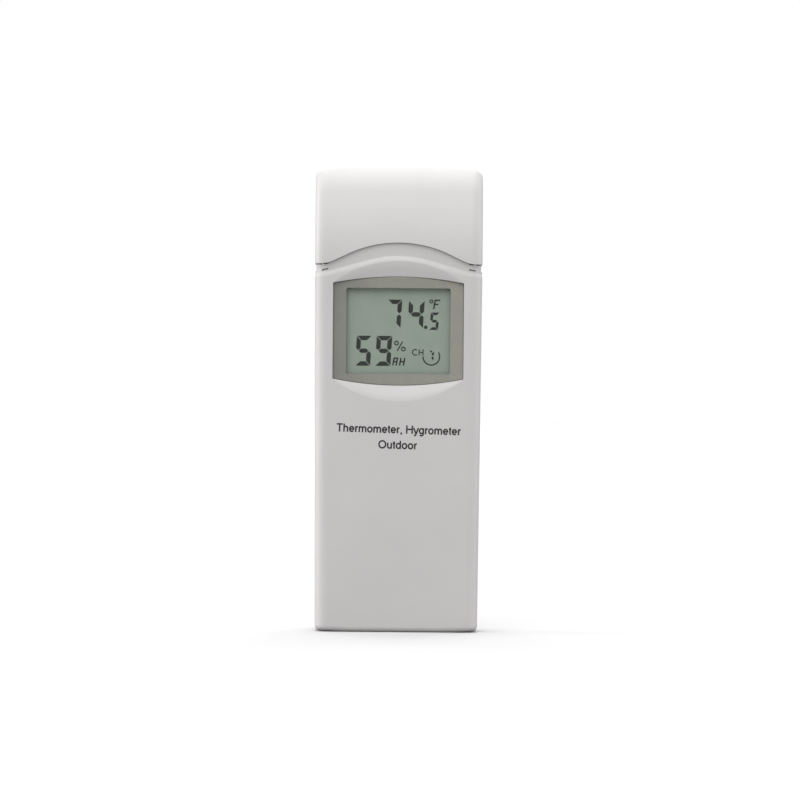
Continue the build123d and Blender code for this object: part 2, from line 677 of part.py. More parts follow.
def dimple(x, top):
    """Raised contact button pressed out of a plate."""
    z = TRAY_HIGH - PLATE - DIMPLE + 0.02 if top else TRAY_LOW + PLATE - 0.1
    return post(x, CELL_Y, 2.0, z, z + DIMPLE + 0.08)


def positive_contact():
    """Upper contact under the left cell's nub."""
    return contact_plate(-CELL_X, True, True) + dimple(-CELL_X, True)


def negative_contact():
    """Upper contact behind the right cell's spring."""
    return contact_plate(CELL_X, True, True)


def bridge_contact():
    """Lower plate that joins the two cells."""
    plate = block(-12.2, 12.2, -4.4, 6.2, TRAY_LOW, TRAY_LOW + PLATE)
    return plate + dimple(CELL_X, False)


def contact_spring(x, top):
    """Conical spring between a plate and a cell's flat end."""
    wire = 0.4
    height = SPRING_LENGTH - 2 * wire - 0.1
    z = TRAY_LOW + PLATE + wire + 0.05
    spring = helix_wire(0, 0, 0, 4.4, 2.6, height, 3.5, wire)
    if top:
        spring = Rot(180, 0, 0) * spring
        z = TRAY_HIGH - PLATE - wire - 0.05
    return Pos(x, CELL_Y, z) * spring


# =============================== switches ==============================


def dip_switch():
    """Four-way slide switch body."""
    low, high = DIP_Z - DIP_HALF_Z, DIP_Z + DIP_HALF_Z
    body = block(DIP_X - DIP_HALF_X, DIP_X + DIP_HALF_X, BOARD_BACK + 0.02, DIP_TOP, low, high)
    low, high = DIP_Z - DIP_SLOT / 2, DIP_Z + DIP_SLOT / 2
    for way in range(4):
        x = dip_way_x(way)
        body -= block(x - 0.75, x + 0.75, DIP_TOP - 1.6, DIP_TOP + 1, low, high)
    return body


def dip_way_x(way):
    """Middle of one way of the slide switch."""
    return DIP_X + DIP_PITCH * (way - 1.5)


def dip_slider(way):
    """One slider of the switch, at the lower end of its slot."""
    x = dip_way_x(way)
    low = DIP_Z - DIP_SLOT / 2 + 0.12
    slider = block(x - 0.65, x + 0.65, DIP_TOP - 1.5, DIP_TOP + 0.9, low, low + SLIDER)
    return chamfer(slider.edges().group_by(Axis.Y)[-1], 0.2)


def reset_switch():
    """Push switch body on the main board."""
    body = block(RESET_X - 3, RESET_X + 3, BOARD_BACK + 0.02, BOARD_BACK + 3.6, DIP_Z - 3, DIP_Z + 3)
    return body - rod(RESET_X, DIP_Z, RESET_R + 0.1, BOARD_BACK + 1.6, BOARD_BACK + 5)


def reset_plunger():
    """Push button of the reset switch."""
    plunger = rod(RESET_X, DIP_Z, RESET_R, BOARD_BACK + 2.4, LEDGE_Y + 0.8)
    return fillet(plunger.edges().filter_by(GeomType.CIRCLE).sort_by(Axis.Y)[-1], 0.3)


# ================================= door ================================


def battery_door():
    """Sliding door with side tongues, a latch tab and a ribbed thumb grip."""
    plate = block(-DOOR_HALF, DOOR_HALF, DOOR_INNER, BACK, DOOR_LOW, DOOR_TOP)
    plate += block(-TONGUE_HALF, TONGUE_HALF, DOOR_INNER, TONGUE_BACK, DOOR_LOW, DOOR_TOP)
    plate = fillet(plate.edges().group_by(Axis.Z)[0].sort_by(Axis.Y)[-1], 0.7)
    plate += block(-5, 5, DOOR_INNER, TONGUE_BACK, DOOR_TOP - 0.1, DOOR_TOP + 1.8)
    grip = slab(Pos(0, 60) * Ellipse(9, 5.5), BACK - 0.75, BACK + 1)
    plate -= grip
    for row in range(4):
        rib = slab(Pos(0, 57.3 + 1.8 * row) * SlotOverall(12.5, 0.8), BACK - 0.9, BACK - 0.2)
        plate += rib
    arrow = make_face(Polyline((-2.4, 51.6), (2.4, 51.6), (0, 48.4), close=True))
    return plate - slab(arrow, BACK - 0.3, BACK + 1)


PARTS = {
    "front_case": front_case,
    "rear_case": rear_case,
    "hood": hood,
    "display_bezel": display_bezel,
    "display_lens": display_lens,
    "lcd_front_glass": lcd_front_glass,
    "lcd_rear_glass": lcd_rear_glass,
    "lcd_reflector": lcd_reflector,
    "lcd_holder": lcd_holder,
    "contact_strip_upper": lambda: contact_strip(1),
    "contact_strip_lower": lambda: contact_strip(-1),
    "main_board": main_board,
    "board_screw_left": lambda: board_screw(-1),
    "board_screw_right": lambda: board_screw(1),
    "case_screw_left": lambda: case_screw(-1),
    "case_screw_right": lambda: case_screw(1),
    "sensor_board": sensor_board,
    "humidity_sensor": humidity_sensor,
    "sensor_header": sensor_header,
    "radio_module": radio_module,
    "antenna": antenna,
    "controller_chip": controller_chip,
    "crystal": crystal,
    "battery_left": lambda: cell(-CELL_X, True),
    "battery_right": lambda: cell(CELL_X, False),
    "positive_contact": positive_contact,
    "negative_contact": negative_contact,
    "bridge_contact": bridge_contact,
    "negative_spring": lambda: contact_spring(CELL_X, True),
    "bridge_spring": lambda: contact_spring(-CELL_X, False),
    "dip_switch": dip_switch,
    "reset_switch": reset_switch,
    "reset_plunger": reset_plunger,
    "battery_door": battery_door,
}
for number in range(4):
    PARTS[f"dip_slider_{number + 1}"] = lambda way=number: dip_slider(way)

os.makedirs("parts", exist_ok=True)
for name, make in PARTS.items():
    export_step(make(), f"parts/{name}.step")
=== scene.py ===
from math import cos, radians, sin, tan

import bmesh
import bpy
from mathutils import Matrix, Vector


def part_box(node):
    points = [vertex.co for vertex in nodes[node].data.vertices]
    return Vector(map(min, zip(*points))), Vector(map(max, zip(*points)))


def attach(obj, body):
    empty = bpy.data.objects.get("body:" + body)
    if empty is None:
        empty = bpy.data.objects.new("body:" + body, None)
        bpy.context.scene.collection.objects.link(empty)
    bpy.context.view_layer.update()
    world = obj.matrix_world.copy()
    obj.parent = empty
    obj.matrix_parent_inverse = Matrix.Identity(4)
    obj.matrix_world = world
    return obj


# Looks for the outdoor temperature and humidity sensor. Metres, +Z up, -Y is the display side.

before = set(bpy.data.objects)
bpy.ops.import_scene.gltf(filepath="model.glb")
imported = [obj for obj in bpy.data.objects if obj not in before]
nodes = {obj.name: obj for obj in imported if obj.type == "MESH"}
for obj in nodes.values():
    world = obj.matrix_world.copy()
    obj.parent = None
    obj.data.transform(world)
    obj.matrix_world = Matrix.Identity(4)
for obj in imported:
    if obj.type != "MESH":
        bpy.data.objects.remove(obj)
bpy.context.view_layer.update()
MM = 0.001

bezel_low, bezel_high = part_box("display_bezel")
DISPLAY = (bezel_low + bezel_high) / 2  # middle of the display window
FACE_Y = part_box("front_case")[0].y  # the flat front of the case
GLASS_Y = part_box("lcd_rear_glass")[0].y  # the surface the characters lie on


# ============================== materials ==============================


def material(name, color, roughness, metallic=0.0):
    """A Principled material with plain values on its sockets."""
    mat = bpy.data.materials.new(name)
    mat.use_nodes = True
    shader = mat.node_tree.nodes["Principled BSDF"]
    shader.inputs["Base Color"].default_value = (*color, 1)
    shader.inputs["Roughness"].default_value = roughness
    shader.inputs["Metallic"].default_value = metallic
    return mat, mat.node_tree, shader


def add(tree, kind, **values):
    """A new node, with its inputs set by name."""
    node = tree.nodes.new(kind)
    for key, value in values.items():
        node.inputs[key.replace("_", " ")].default_value = value
    return node


def place(tree, scale=(1, 1, 1), turn=(0, 0, 0)):
    """Object coordinates, stretched by a scale and turned."""
    coords = tree.nodes.new("ShaderNodeTexCoord")
    mapping = add(tree, "ShaderNodeMapping", Scale=scale, Rotation=turn)
    tree.links.new(coords.outputs["Object"], mapping.inputs["Vector"])
    return mapping.outputs["Vector"]


def noise(tree, vector, scale, detail=2.0):
    """A noise pattern's value."""
    node = add(tree, "ShaderNodeTexNoise", Scale=scale, Detail=detail)
    tree.links.new(vector, node.inputs["Vector"])
    return node.outputs["Fac"]


def along(tree, axis, start, end):
    """How far a point lies from one place to another along an axis, from 0 to 1."""
    coords = tree.nodes.new("ShaderNodeTexCoord")
    parts = tree.nodes.new("ShaderNodeSeparateXYZ")
    tree.links.new(coords.outputs["Object"], parts.inputs["Vector"])
    share = add(tree, "ShaderNodeMapRange", From_Min=start, From_Max=end)
    tree.links.new(parts.outputs[axis], share.inputs["Value"])
    return share.outputs["Result"]


def spread(tree, value, low, high, socket):
    """Maps a noise value onto a range and feeds it to a socket."""
    node = add(tree, "ShaderNodeMapRange", From_Min=0.3, From_Max=0.7, To_Min=low, To_Max=high)
    tree.links.new(value, node.inputs["Value"])
    tree.links.new(node.outputs["Result"], socket)


def ramp(tree, value, stops, stepped=False):
    """A colour that changes with a value, at stops of (position, colour)."""
    node = tree.nodes.new("ShaderNodeValToRGB")
    if stepped:
        node.color_ramp.interpolation = "CONSTANT"
    while len(node.color_ramp.elements) < len(stops):
        node.color_ramp.elements.new(1.0)
    for element, (position, color) in zip(node.color_ramp.elements, stops):
        element.position = position
        element.color = (*color, 1)
    tree.links.new(value, node.inputs["Fac"])
    return node.outputs["Color"]


def tint(tree, value, dark, light, shader):
    """Varies the base colour between two colours."""
    color = ramp(tree, value, [(0.3, dark), (0.7, light)])
    tree.links.new(color, shader.inputs["Base Color"])


def relief(tree, value, height, shader, strength=1.0):
    """Bumps the surface by a pattern of a height."""
    bump = add(tree, "ShaderNodeBump", Strength=strength, Distance=height)
    tree.links.new(value, bump.inputs["Height"])
    tree.links.new(bump.outputs["Normal"], shader.inputs["Normal"])


def moulded(name, dark, light, roughness=0.42, grain=0.000008):
    """Moulded plastic with a fine spark-eroded texture and a faint unevenness."""
    mat, tree, shader = material(name, light, roughness)
    where = place(tree)
    tint(tree, noise(tree, where, 55.0, 3.0), dark, light, shader)
    smooth, rough = roughness - 0.04, roughness + 0.05
    spread(tree, noise(tree, where, 900.0), smooth, rough, shader.inputs["Roughness"])
    relief(tree, noise(tree, where, 3800.0, 3.0), grain, shader, 0.6)
    return mat


def white_plastic():
    """White weather-resistant casing plastic, a little less glossy than most."""
    mat = moulded("white_plastic", (0.745, 0.720, 0.722), (0.775, 0.749, 0.751))
    shader = mat.node_tree.nodes["Principled BSDF"]
    shader.inputs["Specular IOR Level"].default_value = CASE_GLOSS
    return mat


def bezel_paint():
    """Silver-grey satin paint with a fine metallic flake, with painted shade that makes it darker towards
    the left.
    """
    mat, tree, shader = material("bezel_paint", (0.36, 0.345, 0.30), 0.42, 0.25)
    where = place(tree)
    dull, bright = (0.88, 0.88, 0.88), (1.1, 1.1, 1.1)
    cool, warm = (0.95, 0.96, 0.97), (1.04, 1.03, 1.01)
    flake = ramp(tree, noise(tree, where, 5200.0), [(0.3, dull), (0.7, bright)])
    cloud = ramp(tree, noise(tree, where, 170.0, 3.0), [(0.3, cool), (0.7, warm)])
    # Painted shade: the base colour darkens from right to left across the plate, standing in for the
    # shadow of the recess wall on its left side.
    across = along(tree, "X", bezel_low.x, bezel_high.x)
    left, middle, right = (0.308, 0.310, 0.280), (0.382, 0.376, 0.330), (0.405, 0.398, 0.350)
    color = ramp(tree, across, [(0.0, left), (0.35, middle), (1.0, right)])
    for factor in (flake, cloud):
        product = tree.nodes.new("ShaderNodeMix")
        product.data_type = "RGBA"
        product.blend_type = "MULTIPLY"
        product.inputs["Factor"].default_value = 1.0
        tree.links.new(color, product.inputs["A"])
        tree.links.new(factor, product.inputs["B"])
        color = product.outputs["Result"]
    tree.links.new(color, shader.inputs["Base Color"])
    spread(tree, noise(tree, where, 2500.0), 0.36, 0.50, shader.inputs["Roughness"])
    relief(tree, noise(tree, where, 5200.0, 2.0), 0.000004, shader, 0.5)
    return mat


def clear(name, tone, roughness, index):
    """Clear sheet: what is behind shows, and its surface mirrors a little on the way in only."""
    mat = bpy.data.materials.new(name)
    mat.use_nodes = True
    tree = mat.node_tree
    tree.nodes.clear()
    out = tree.nodes.new("ShaderNodeOutputMaterial")
    through = add(tree, "ShaderNodeBsdfTransparent", Color=(*tone, 1))
    gloss = add(tree, "ShaderNodeBsdfGlossy", Roughness=roughness)
    mirror_share = add(tree, "ShaderNodeFresnel", IOR=index)
    side = tree.nodes.new("ShaderNodeNewGeometry")
    entering = add(tree, "ShaderNodeMapRange", To_Min=1.0, To_Max=0.0)
    tree.links.new(side.outputs["Backfacing"], entering.inputs["Value"])
    share = tree.nodes.new("ShaderNodeMath")
    share.operation = "MULTIPLY"
    tree.links.new(mirror_share.outputs["Fac"], share.inputs[0])
    tree.links.new(entering.outputs["Result"], share.inputs[1])
    mix = tree.nodes.new("ShaderNodeMixShader")
    tree.links.new(share.outputs["Value"], mix.inputs["Fac"])
    tree.links.new(through.outputs["BSDF"], mix.inputs[1])
    tree.links.new(gloss.outputs["BSDF"], mix.inputs[2])
    tree.links.new(mix.outputs["Shader"], out.inputs["Surface"])
    return mat


def display_grey():
    """Grey-green ground of a reflective liquid-crystal display."""
    mat, tree, shader = material("display_grey", (0.45, 0.50, 0.45), 0.5)
    where = place(tree)
    tint(tree, noise(tree, where, 260.0, 3.0), (0.425, 0.478, 0.428), (0.462, 0.515, 0.460), shader)
    relief(tree, noise(tree, where, 6000.0), 0.000003, shader, 0.3)
    return mat


def ink(name, color, roughness=0.6):
    """Printed or switched characters."""
    mat, tree, shader = material(name, color, roughness)
    where = place(tree)
    lighter = tuple(c * 1.35 + 0.004 for c in color)
    tint(tree, noise(tree, where, 1500.0), color, lighter, shader)
    return mat


def metal(name, color, roughness, stretch=(1, 1, 1)):
    """Bare or plated metal with fine drawing lines along one axis."""
    mat, tree, shader = material(name, color, roughness, 1.0)
    where = place(tree, stretch)
    darker = tuple(c * 0.86 for c in color)
    tint(tree, noise(tree, where, 1400.0, 3.0), darker, color, shader)
    smooth, rough = roughness - 0.08, roughness + 0.1
    spread(tree, noise(tree, where, 2200.0), smooth, rough, shader.inputs["Roughness"])
    return mat


def solder_mask():
    """Green board laminate with copper tracks showing faintly through the mask."""
    mat, tree, shader = material("solder_mask", (0.02, 0.13, 0.05), 0.35)
    upright = place(tree, turn=(radians(90), 0, 0))
    bricks = add(tree, "ShaderNodeTexBrick", Scale=420.0, Mortar_Size=0.05)
    bricks.inputs["Color1"].default_value = (0.012, 0.105, 0.040, 1)
    bricks.inputs["Color2"].default_value = (0.020, 0.150, 0.058, 1)
    bricks.inputs["Mortar"].default_value = (0.040, 0.230, 0.085, 1)
    tree.links.new(upright, bricks.inputs["Vector"])
    tree.links.new(bricks.outputs["Color"], shader.inputs["Base Color"])
    relief(tree, noise(tree, upright, 3000.0), 0.000005, shader, 0.4)
    return mat


def cell_jacket(node, plus_up):
    """A cell's printed jacket: bare steel ends, a blue band at the plus end, a grey body."""
    low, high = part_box(node)
    mat, tree, shader = material(node + "_jacket", (0.3, 0.3, 0.3), 0.34)
    plus, minus = (high.z, low.z) if plus_up else (low.z, high.z)
    height = along(tree, "Z", plus, minus)
    length = high.z - low.z
    steel_end, ring_end, band_end, line_end = (mm * MM / length for mm in (1.35, 2.6, 14.0, 14.7))
    base_start = 1 - 0.25 * MM / length
    steel, white = (0.60, 0.59, 0.57), (0.70, 0.70, 0.68)
    bands = [(0.0, steel), (steel_end, white), (ring_end, (0.03, 0.12, 0.30)), (band_end, white),
             (line_end, (0.235, 0.245, 0.255)), (base_start, steel)]
    shown = ramp(tree, height, bands, stepped=True)
    tree.links.new(shown, shader.inputs["Base Color"])
    coated, metallic = (0, 0, 0), (1, 1, 1)
    bare = ramp(tree, height, [(0.0, metallic), (steel_end, coated), (base_start, metallic)], stepped=True)
    tree.links.new(bare, shader.inputs["Metallic"])
    spread(tree, noise(tree, place(tree), 700.0), 0.28, 0.40, shader.inputs["Roughness"])
    return mat


def rubber():
    """Striped conductive rubber."""
    mat, tree, shader = material("strip_rubber", (0.03, 0.03, 0.035), 0.75)
    where = place(tree, (1, 0.02, 0.02))
    wave = add(tree, "ShaderNodeTexWave", Scale=1200.0)
    tree.links.new(where, wave.inputs["Vector"])
    tint(tree, wave.outputs["Fac"], (0.02, 0.02, 0.022), (0.22, 0.16, 0.15), shader)
    return mat


CASE_GLOSS = 0.42
WHITE = white_plastic()
BRIGHT_METAL = metal("zinc_plate", (0.66, 0.67, 0.69), 0.32)
NICKEL = metal("nickel_steel", (0.63, 0.62, 0.60), 0.28, (1, 1, 0.1))
BLACK_PLASTIC = moulded("chip_epoxy", (0.018, 0.018, 0.02), (0.03, 0.03, 0.032), 0.55)
LOOKS = {
    WHITE: ["front_case", "rear_case", "hood", "battery_door"],
    bezel_paint(): ["display_bezel"],
    clear("lens_plastic", (0.985, 0.99, 0.985), 0.05, 1.35): ["display_lens"],
    clear("front_glass", (0.985, 0.995, 0.985), 0.15, 1.2): ["lcd_front_glass"],
    display_grey(): ["lcd_rear_glass"],
    metal("reflector_film", (0.62, 0.62, 0.60), 0.45): ["lcd_reflector"],
    moulded("holder_plastic", (0.66, 0.66, 0.63), (0.72, 0.72, 0.69), 0.5): ["lcd_holder"],
    rubber(): ["contact_strip_upper", "contact_strip_lower"],
    solder_mask(): ["main_board", "sensor_board"],
    BLACK_PLASTIC: ["controller_chip", "sensor_header"],
    BRIGHT_METAL: ["board_screw_left", "board_screw_right", "case_screw_left", "case_screw_right"],
    NICKEL: [
        "radio_module", "crystal", "positive_contact", "negative_contact", "bridge_contact",
        "negative_spring", "bridge_spring", "reset_switch",
    ],
    metal("copper_wire", (0.80, 0.42, 0.25), 0.3): ["antenna"],
    moulded("sensor_ceramic", (0.70, 0.70, 0.68), (0.78, 0.78, 0.76), 0.5): ["humidity_sensor"],
    cell_jacket("battery_left", True): ["battery_left"],
    cell_jacket("battery_right", False): ["battery_right"],
    moulded("switch_red", (0.40, 0.022, 0.018), (0.46, 0.030, 0.024), 0.4): ["dip_switch"],
    moulded("slider_white", (0.70, 0.70, 0.68), (0.76, 0.76, 0.74), 0.45): [
        "dip_slider_1", "dip_slider_2", "dip_slider_3", "dip_slider_4",
    ],
    moulded("button_black", (0.02, 0.02, 0.02), (0.035, 0.035, 0.035), 0.45): ["reset_plunger"],
}
for look, names in LOOKS.items():
    for name in names:
        slots = nodes[name].data.materials
        for index in range(len(slots)):
            slots[index] = look

INK_ON = ink("display_ink", (0.018, 0.024, 0.019), 0.5)
INK_PRINT = ink("print_ink", (0.018, 0.017, 0.018), 0.55)
INK_WHITE = ink("white_ink", (0.62, 0.62, 0.60), 0.5)
INK_GREY = ink("grey_ink", (0.075, 0.075, 0.080), 0.5)


# ============================ mesh helpers =============================


def band(bm, inner, outer, near_y, far_y, closed):
    """A closed ribbon between two matching lines of points, such as a ring or a stroke."""
    count = len(inner)
    levels = [(y, line) for y in (near_y, far_y) for line in (inner, outer)]
    rings = [[bm.verts.new((x, y, z)) for x, z in line] for y, line in levels]
    near_in, near_out, far_in, far_out = rings
    for i in range(count if closed else count - 1):
        j = (i + 1) % count
        bm.faces.new((near_in[i], near_in[j], near_out[j], near_out[i]))
        bm.faces.new((far_in[j], far_in[i], far_out[i], far_out[j]))
        bm.faces.new((near_in[j], near_in[i], far_in[i], far_in[j]))
        bm.faces.new((near_out[i], near_out[j], far_out[j], far_out[i]))
    if not closed:
        bm.faces.new((near_in[0], near_out[0], far_out[0], far_in[0]))
        bm.faces.new((near_out[-1], near_in[-1], far_in[-1], far_out[-1]))


def piece(name, bm, look, body="case"):
    """Finishes a mesh, gives it its material and lets it ride on a body."""
    bmesh.ops.recalc_face_normals(bm, faces=bm.faces)
    mesh = bpy.data.meshes.new(name)
    bm.to_mesh(mesh)
    bm.free()
    mesh.materials.append(look)
    obj = bpy.data.objects.new(name, mesh)
    bpy.context.scene.collection.objects.link(obj)
    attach(obj, body)
    return obj


def oval(x, z, across, up, start=0.0, end=360.0, steps=24):
    """Points along an ellipse, by its middle, half sizes and turn in degrees."""
    turns = [radians(start + (end - start) * i / steps) for i in range(steps + 1)]
    return [(x + across * cos(a), z + up * sin(a)) for a in turns]


LIFT = 0.002 * MM  # how far characters stand off the surface they are drawn on
STEP = 0.0005 * MM  # difference in level between neighbouring shapes


class Pen:
    """Draws thin closed characters on an upright surface, in millimetres from a middle point.

    It faces the front, or the back, where the drawing runs the other way across.
    """

    def __init__(self, middle_x, surface_y, middle_z, thick=0.02, to_front=True, tilt=0.0):
        self.bm = bmesh.new()
        self.x, self.z = middle_x, middle_z
        self.side = 1 if to_front else -1
        self.rest = surface_y - self.side * LIFT
        self.thick = thick * MM
        self.tilt = radians(tilt)
        self.drawn = 0

    def spot(self, point):
        """Where a point of the drawing lies, in X and Z."""
        x, z = point
        turned = (x * cos(self.tilt) - z * sin(self.tilt), x * sin(self.tilt) + z * cos(self.tilt))
        return (self.x + self.side * turned[0] * MM, self.z + turned[1] * MM)

    def level(self):
        """The level of the next shape; neighbours differ a hair, so that none share a plane."""
        self.drawn += 1
        return self.rest - self.side * (self.thick + STEP * (self.drawn % 7))

    def fill(self, outline):
        """A filled outline."""
        level = self.level()
        near = [self.bm.verts.new((x, level, z)) for x, z in map(self.spot, outline)]
        far = [self.bm.verts.new((x, self.rest, z)) for x, z in map(self.spot, outline)]
        self.bm.faces.new(near)
        self.bm.faces.new(reversed(far))
        for i in range(len(outline)):
            j = (i + 1) % len(outline)
            self.bm.faces.new((near[j], near[i], far[i], far[j]))

    def stroke(self, path, thick):
        """A line of even width along a path; a path that ends where it starts is a ring."""
        closed = (Vector(path[0]) - Vector(path[-1])).length < 1e-6
        points = [Vector(p) for p in (path[:-1] if closed else path)]
        inner, outer = [], []
        for i, point in enumerate(points):
            ways = []
            if closed or i > 0:
                ways.append((point - points[i - 1]).normalized())
            if closed or i + 1 < len(points):
                ways.append((points[(i + 1) % len(points)] - point).normalized())
            way = (ways[0] + ways[-1]).normalized()
            reach = thick / 2 / max(0.5, way.dot(ways[0]))
            out = Vector((-way.y, way.x)) * reach
            inner.append(self.spot(point - out))
            outer.append(self.spot(point + out))
        band(self.bm, inner, outer, self.level(), self.rest, closed)

    def digit(self, figure, x, z, width, height, bar, gap, slant):
        """A seven-segment figure."""
        bars = segment_outlines(width, height, bar, gap)
        for letter in SEGMENTS[figure]:
            self.fill(leaning(x, z, slant, bars[letter]))

    def dot(self, x, z, radius):
        """A filled disc."""
        self.fill(oval(x, z, radius, radius, steps=20)[:-1])

    def write(self, words, x, z, cap, weight=0.128, squeeze=1.0):
        """Words in plain sans-serif letters, centred on x, by the height of their capitals."""
        total = sum(GLYPHS[c][0] for c in words)
        at = -total / 2
        for letter in words:
            advance, paths = GLYPHS[letter]
            for path in paths:
                placed = [(x + (at + px) * cap * squeeze, z + pz * cap) for px, pz in path]
                self.stroke(placed, weight * cap)
            at += advance


# =============================== letters ===============================

# Each glyph is its advance and its strokes, in heights of a capital.
X_HEIGHT = 0.725  # height of the small letters
LOW = X_HEIGHT / 2  # middle height of the small letters
STEM, ROUND_STEM = 0.156, 0.62  # first and last stem of a small letter
BAR = 0.936  # height of a capital's top bar, at the middle of its stroke


def hump(left, right):
    """The arch of a small letter, from one stem over to the next and down."""
    return oval((left + right) / 2, 0.43, (right - left) / 2, 0.232, 180, 0, 14) + [(right, 0)]


BOWL = oval(0.372, LOW, 0.258, 0.2985)  # the round part of d and g
GLYPHS = {
    " ": (0.388, []),
    ",": (0.388, [[(0.19, 0.13), (0.19, 0.0), (0.145, -0.13)]]),
    "+": (0.80, [[(0.1, 0.42), (0.7, 0.42)], [(0.4, 0.12), (0.4, 0.72)]]),
    "-": (0.80, [[(0.1, 0.42), (0.7, 0.42)]]),
    "1": (0.777, [[(0.2, 0.76), (0.42, 0.97), (0.42, 0)]]),
    "2": (0.777, [oval(0.385, 0.70, 0.26, 0.235, 170, -35, 14) + [(0.13, 0.064), (0.69, 0.064)]]),
    "3": (0.777, [
        oval(0.37, 0.725, 0.23, 0.21, 160, -90, 14), oval(0.37, 0.29, 0.27, 0.228, 90, -155, 14),
    ]),
    "4": (0.777, [[(0.72, 0.26), (0.1, 0.26), (0.52, 0.95), (0.52, 0)]]),
    "A": (0.931, [[(0.03, 0), (0.42, 0.97), (0.51, 0.97), (0.90, 0)], [(0.19, 0.33), (0.74, 0.33)]]),
    "E": (0.931, [[(0.85, BAR), (0.17, BAR), (0.17, 0.064), (0.87, 0.064)], [(0.17, 0.51), (0.8, 0.51)]]),
    "H": (1.008, [[(0.144, 0), (0.144, 1)], [(0.864, 0), (0.864, 1)], [(0.144, 0.53), (0.864, 0.53)]]),
    "N": (1.008, [[(0.144, 0), (0.144, 0.98), (0.864, 0.02), (0.864, 1)]]),
    "O": (1.087, [oval(0.5435, 0.5, 0.4315, 0.436)]),
    "R": (1.008, [
        [(0.17, 0), (0.17, BAR)] + oval(0.56, 0.715, 0.27, 0.221, 90, -90, 12) + [(0.2, 0.494)],
        [(0.5, 0.494), (0.87, 0)],
    ]),
    "S": (0.931, [
        oval(0.46, 0.72, 0.30, 0.216, 25, 255, 14) + oval(0.47, 0.285, 0.33, 0.222, 65, -155, 14),
    ]),
    "T": (0.853, [[(0.03, BAR), (0.823, BAR)], [(0.4265, BAR), (0.4265, 0)]]),
    "d": (0.777, [BOWL, [(ROUND_STEM, 0), (ROUND_STEM, 1)]]),
    "e": (0.777, [[(0.14, LOW), (0.645, LOW)] + oval(0.385, LOW, 0.26, 0.2985, 8, 325, 20)]),
    "g": (0.777, [BOWL, [(ROUND_STEM, X_HEIGHT)] + oval(0.375, -0.01, 0.245, 0.2, 0, -145, 10)]),
    "h": (0.777, [[(STEM, 0), (STEM, 1)], hump(STEM, ROUND_STEM)]),
    "m": (1.163, [[(STEM, 0), (STEM, X_HEIGHT)], hump(STEM, 0.582), hump(0.582, 1.007)]),
    "o": (0.777, [oval(0.388, LOW, 0.275, 0.2985)]),
    "r": (0.465, [[(STEM, 0), (STEM, X_HEIGHT)], oval(0.39, 0.40, 0.234, 0.262, 180, 82, 8)]),
    "t": (0.388, [
        [(0.19, 0.90)] + oval(0.315, 0.18, 0.125, 0.116, 180, 275, 6), [(0.03, 0.665), (0.36, 0.665)],
    ]),
    "u": (0.777, [
        [(STEM, X_HEIGHT)] + oval(0.388, 0.295, 0.232, 0.2325, 180, 360, 14),
        [(ROUND_STEM, 0), (ROUND_STEM, X_HEIGHT)],
    ]),
    "y": (0.698, [
        [(0.045, X_HEIGHT), (0.35, 0.02)],
        [(0.655, X_HEIGHT), (0.36, -0.06), (0.29, -0.17), (0.2, -0.21), (0.1, -0.2)],
    ]),
}


# =============================== display ===============================

SEGMENTS = {"1": "bc", "4": "fgbc", "5": "afgcd", "7": "abc", "9": "abcdfg"}
BIG_BAR, BIG_GAP = 1.14, 0.12  # width of a large figure's bars and the gap between them, in millimetres
SIGN_LINE, LETTER_LINE, MARK_LINE = 0.31, 0.38, 0.27  # widths of the small characters' lines
LETTER_SLANT = 10  # degrees


def segment_outlines(width, height, bar, gap):
    """Outlines of a seven-segment digit's bars, by their usual letters."""
    w, h, t, g, m = width, height, bar, gap, height / 2
    foot = m + g + t / 2
    right_upper = [(w, h - g), (w, foot), (w - t / 2, m + g), (w - t, foot), (w - t, h - t - g)]

    def flip_x(points):
        return [(w - x, z) for x, z in points]

    def flip_z(points):
        return [(x, h - z) for x, z in points]

    top = [(g, h), (w - g, h), (w - t - g, h - t), (t + g, h - t)]
    ends = t / 2 + g
    middle = [
        (ends, m), (t + g, m + t / 2), (w - t - g, m + t / 2),
        (w - ends, m), (w - t - g, m - t / 2), (t + g, m - t / 2),
    ]
    return {
        "a": top, "b": right_upper, "c": flip_z(right_upper), "d": flip_z(top),
        "e": flip_x(flip_z(right_upper)), "f": flip_x(right_upper), "g": middle,
    }


def display_pen():
    """A pen whose middle is the middle of the display window."""
    return Pen(DISPLAY.x, GLASS_Y, DISPLAY.z, thick=0.03)


def leaning(x, z, slant, points):
    """Points of a small character, leaned over and moved into place."""
    lean = tan(radians(slant))
    return [(x + px + pz * lean, z + pz) for px, pz in points]


def big_readings():
    """The temperature and the humidity."""
    pen = display_pen()
    pen.digit("7", -3.2, 0.75, 3.75, 7.4, BIG_BAR, BIG_GAP, 3.5)
    pen.digit("4", 2.3, 0.75, 4.05, 7.2, BIG_BAR, BIG_GAP, 3.5)
    pen.dot(7.1, 1.05, 0.47)
    pen.digit("5", 7.95, 0.4, 2.3, 4.5, 0.7, 0.08, 6)
    pen.digit("5", -11.1, -9.0, 3.9, 7.75, BIG_BAR, BIG_GAP, 3)
    pen.digit("9", -5.95, -9.0, 4.0, 7.75, BIG_BAR, BIG_GAP, 3)
    piece("display_readings", pen.bm, INK_ON)


